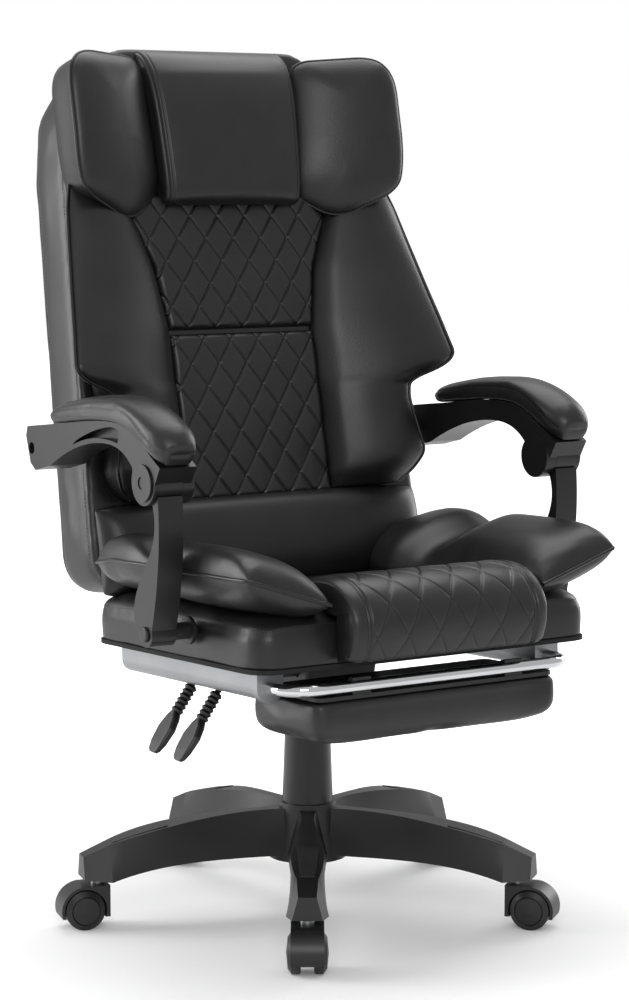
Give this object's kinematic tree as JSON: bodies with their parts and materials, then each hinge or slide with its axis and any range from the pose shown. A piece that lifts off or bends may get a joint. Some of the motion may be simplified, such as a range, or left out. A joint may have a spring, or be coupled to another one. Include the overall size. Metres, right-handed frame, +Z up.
{
  "type": "office chair with footrest",
  "caption": "High-backed padded office chair on a star base with casters, with linked arms that follow the reclining back and a pull-out footrest that turns over.",
  "frame": {"origin": "on the floor under the column's axis", "axes": "+Z up, the sitter faces -Y, +X is the sitter's left"},
  "size_m": [0.7022, 0.7139, 1.2001],
  "materials": {
    "leather_black": "satin",
    "nylon_black": "satin",
    "steel_black": "satin",
    "steel_bright": "satin",
    "chrome": "polished",
    "rail_grey": "satin",
    "plywood": "matte",
    "bush_plastic": "matte",
    "inlay_dark": "satin"
  },
  "bodies": {
    "base": {"star_base": "nylon_black", "leg_inlays": "inlay_dark", "lift_outer_tube": "steel_black", "guide_bush": "bush_plastic", "column_cover_lower": "nylon_black"},
    "caster_1": {"caster_hood_1": "nylon_black", "caster_stem_1": "steel_bright"},
    "wheels_1": {"caster_wheels_1": "nylon_black"},
    "caster_2": {"caster_hood_2": "nylon_black", "caster_stem_2": "steel_bright"},
    "wheels_2": {"caster_wheels_2": "nylon_black"},
    "caster_3": {"caster_hood_3": "nylon_black", "caster_stem_3": "steel_bright"},
    "wheels_3": {"caster_wheels_3": "nylon_black"},
    "caster_4": {"caster_hood_4": "nylon_black", "caster_stem_4": "steel_bright"},
    "wheels_4": {"caster_wheels_4": "nylon_black"},
    "caster_5": {"caster_hood_5": "nylon_black", "caster_stem_5": "steel_bright"},
    "wheels_5": {"caster_wheels_5": "nylon_black"},
    "lift_rod": {"thrust_bearing": "steel_bright", "piston_rod": "steel_bright"},
    "seat_unit": {"gas_cylinder": "steel_bright", "column_cover_upper": "nylon_black", "mechanism": "steel_black", "seat_board": "plywood", "seat_slab": "leather_black", "seat_pillow_left": "leather_black", "seat_pillow_right": "leather_black", "seat_front_roll": "leather_black", "arm_brackets": "steel_black", "upright_caps": "nylon_black", "hinge_plates": "steel_black", "footrest_rails": "rail_grey"},
    "height_lever": {"height_lever_rod": "steel_black", "height_lever_grip": "nylon_black"},
    "recline_lever": {"recline_lever_rod": "steel_black", "recline_lever_grip": "nylon_black"},
    "backrest": {"back_shell": "leather_black", "back_plates": "steel_black", "arm_rear_pins": "steel_black", "head_roll": "leather_black", "head_wing_left": "leather_black", "head_wing_right": "leather_black", "side_bolster_left": "leather_black", "side_bolster_right": "leather_black", "quilt_pad_upper": "leather_black", "quilt_pad_lower": "leather_black", "lumbar_roll": "leather_black"},
    "post_left": {"upright_left": "nylon_black"},
    "arm_left": {"arm_frame_left": "nylon_black", "arm_pad_left": "leather_black", "arm_pivot_left": "nylon_black"},
    "post_right": {"upright_right": "nylon_black"},
    "arm_right": {"arm_frame_right": "nylon_black", "arm_pad_right": "leather_black", "arm_pivot_right": "nylon_black"},
    "footrest_frame": {"footrest_tube": "chrome"},
    "footrest_pad": {"footrest_pan": "steel_black", "footrest_cushion": "leather_black"}
  },
  "joints": [
    {"name": "caster_swivel_1", "type": "hinge", "parent": "base", "child": "caster_1", "pos_m": [-0.16427, -0.25103, 0.06], "axis": [0, 0, 1], "continuous": true},
    {"name": "wheel_spin_1", "type": "hinge", "parent": "caster_1", "child": "wheels_1", "pos_m": [-0.17577, -0.2686, 0.027], "axis": [0.8368, -0.5476, 0], "continuous": true},
    {"name": "caster_swivel_2", "type": "hinge", "parent": "base", "child": "caster_2", "pos_m": [0.18798, -0.2338, 0.06], "axis": [0, 0, 1], "continuous": true},
    {"name": "wheel_spin_2", "type": "hinge", "parent": "caster_2", "child": "wheels_2", "pos_m": [0.20114, -0.25017, 0.027], "axis": [0.7793, 0.6266, 0], "continuous": true},
    {"name": "caster_swivel_3", "type": "hinge", "parent": "base", "child": "caster_3", "pos_m": [0.28045, 0.10653, 0.06], "axis": [0, 0, 1], "continuous": true},
    {"name": "wheel_spin_3", "type": "hinge", "parent": "caster_3", "child": "wheels_3", "pos_m": [0.30008, 0.11399, 0.027], "axis": [-0.3551, 0.9348, 0], "continuous": true},
    {"name": "caster_swivel_4", "type": "hinge", "parent": "base", "child": "caster_4", "pos_m": [-0.01465, 0.29964, 0.06], "axis": [0, 0, 1], "continuous": true},
    {"name": "wheel_spin_4", "type": "hinge", "parent": "caster_4", "child": "wheels_4", "pos_m": [-0.01568, 0.32062, 0.027], "axis": [-0.9988, -0.0489, 0], "continuous": true},
    {"name": "caster_swivel_5", "type": "hinge", "parent": "base", "child": "caster_5", "pos_m": [-0.28951, 0.07866, 0.06], "axis": [0, 0, 1], "continuous": true},
    {"name": "wheel_spin_5", "type": "hinge", "parent": "caster_5", "child": "wheels_5", "pos_m": [-0.30977, 0.08416, 0.027], "axis": [-0.2622, -0.965, 0], "continuous": true},
    {"name": "seat_swivel", "type": "hinge", "parent": "base", "child": "lift_rod", "pos_m": [0, 0, 0.07], "axis": [0, 0, 1], "continuous": true},
    {"name": "seat_height", "type": "slide", "parent": "lift_rod", "child": "seat_unit", "axis": [0, 0, 1], "range_m": [0, 0.08]},
    {"name": "height_lever_pull", "type": "hinge", "parent": "seat_unit", "child": "height_lever", "pos_m": [-0.048, 0.005, 0.346], "axis": [0, 1, 0], "range_deg": [0, 8]},
    {"name": "recline_lever_pull", "type": "hinge", "parent": "seat_unit", "child": "recline_lever", "pos_m": [-0.048, -0.06, 0.346], "axis": [0, 1, 0], "range_deg": [0, 8]},
    {"name": "back_recline", "type": "hinge", "parent": "seat_unit", "child": "backrest", "pos_m": [0, 0.166, 0.454], "axis": [-1, 0, 0], "range_deg": [0, 35]},
    {"name": "post_left_pivot", "type": "hinge", "parent": "seat_unit", "child": "post_left", "pos_m": [0.316, -0.135, 0.434], "axis": [-1, 0, 0], "range_deg": [0, 35]},
    {"name": "arm_left_pivot", "type": "hinge", "parent": "post_left", "child": "arm_left", "pos_m": [0.316, -0.141, 0.628], "axis": [-1, 0, 0], "range_deg": [-35, 0]},
    {"name": "post_right_pivot", "type": "hinge", "parent": "seat_unit", "child": "post_right", "pos_m": [-0.316, -0.135, 0.434], "axis": [-1, 0, 0], "range_deg": [0, 35]},
    {"name": "arm_right_pivot", "type": "hinge", "parent": "post_right", "child": "arm_right", "pos_m": [-0.316, -0.141, 0.628], "axis": [-1, 0, 0], "range_deg": [-35, 0]},
    {"name": "footrest_slide", "type": "slide", "parent": "seat_unit", "child": "footrest_frame", "axis": [0, -0.9994, 0.0349], "range_m": [0, 0.28]},
    {"name": "footrest_flip", "type": "hinge", "parent": "footrest_frame", "child": "footrest_pad", "pos_m": [0, -0.30584, 0.37319], "axis": [-1, 0, 0], "range_deg": [0, 180]}
  ],
  "couplings": [
    {"joint": "post_left_pivot", "follows": "back_recline", "ratio": 1},
    {"joint": "post_right_pivot", "follows": "back_recline", "ratio": 1},
    {"joint": "arm_left_pivot", "follows": "back_recline", "ratio": -1},
    {"joint": "arm_right_pivot", "follows": "back_recline", "ratio": -1},
    {"joint": "footrest_flip", "follows": "footrest_slide", "rad_per_m": 11.22}
  ]
}
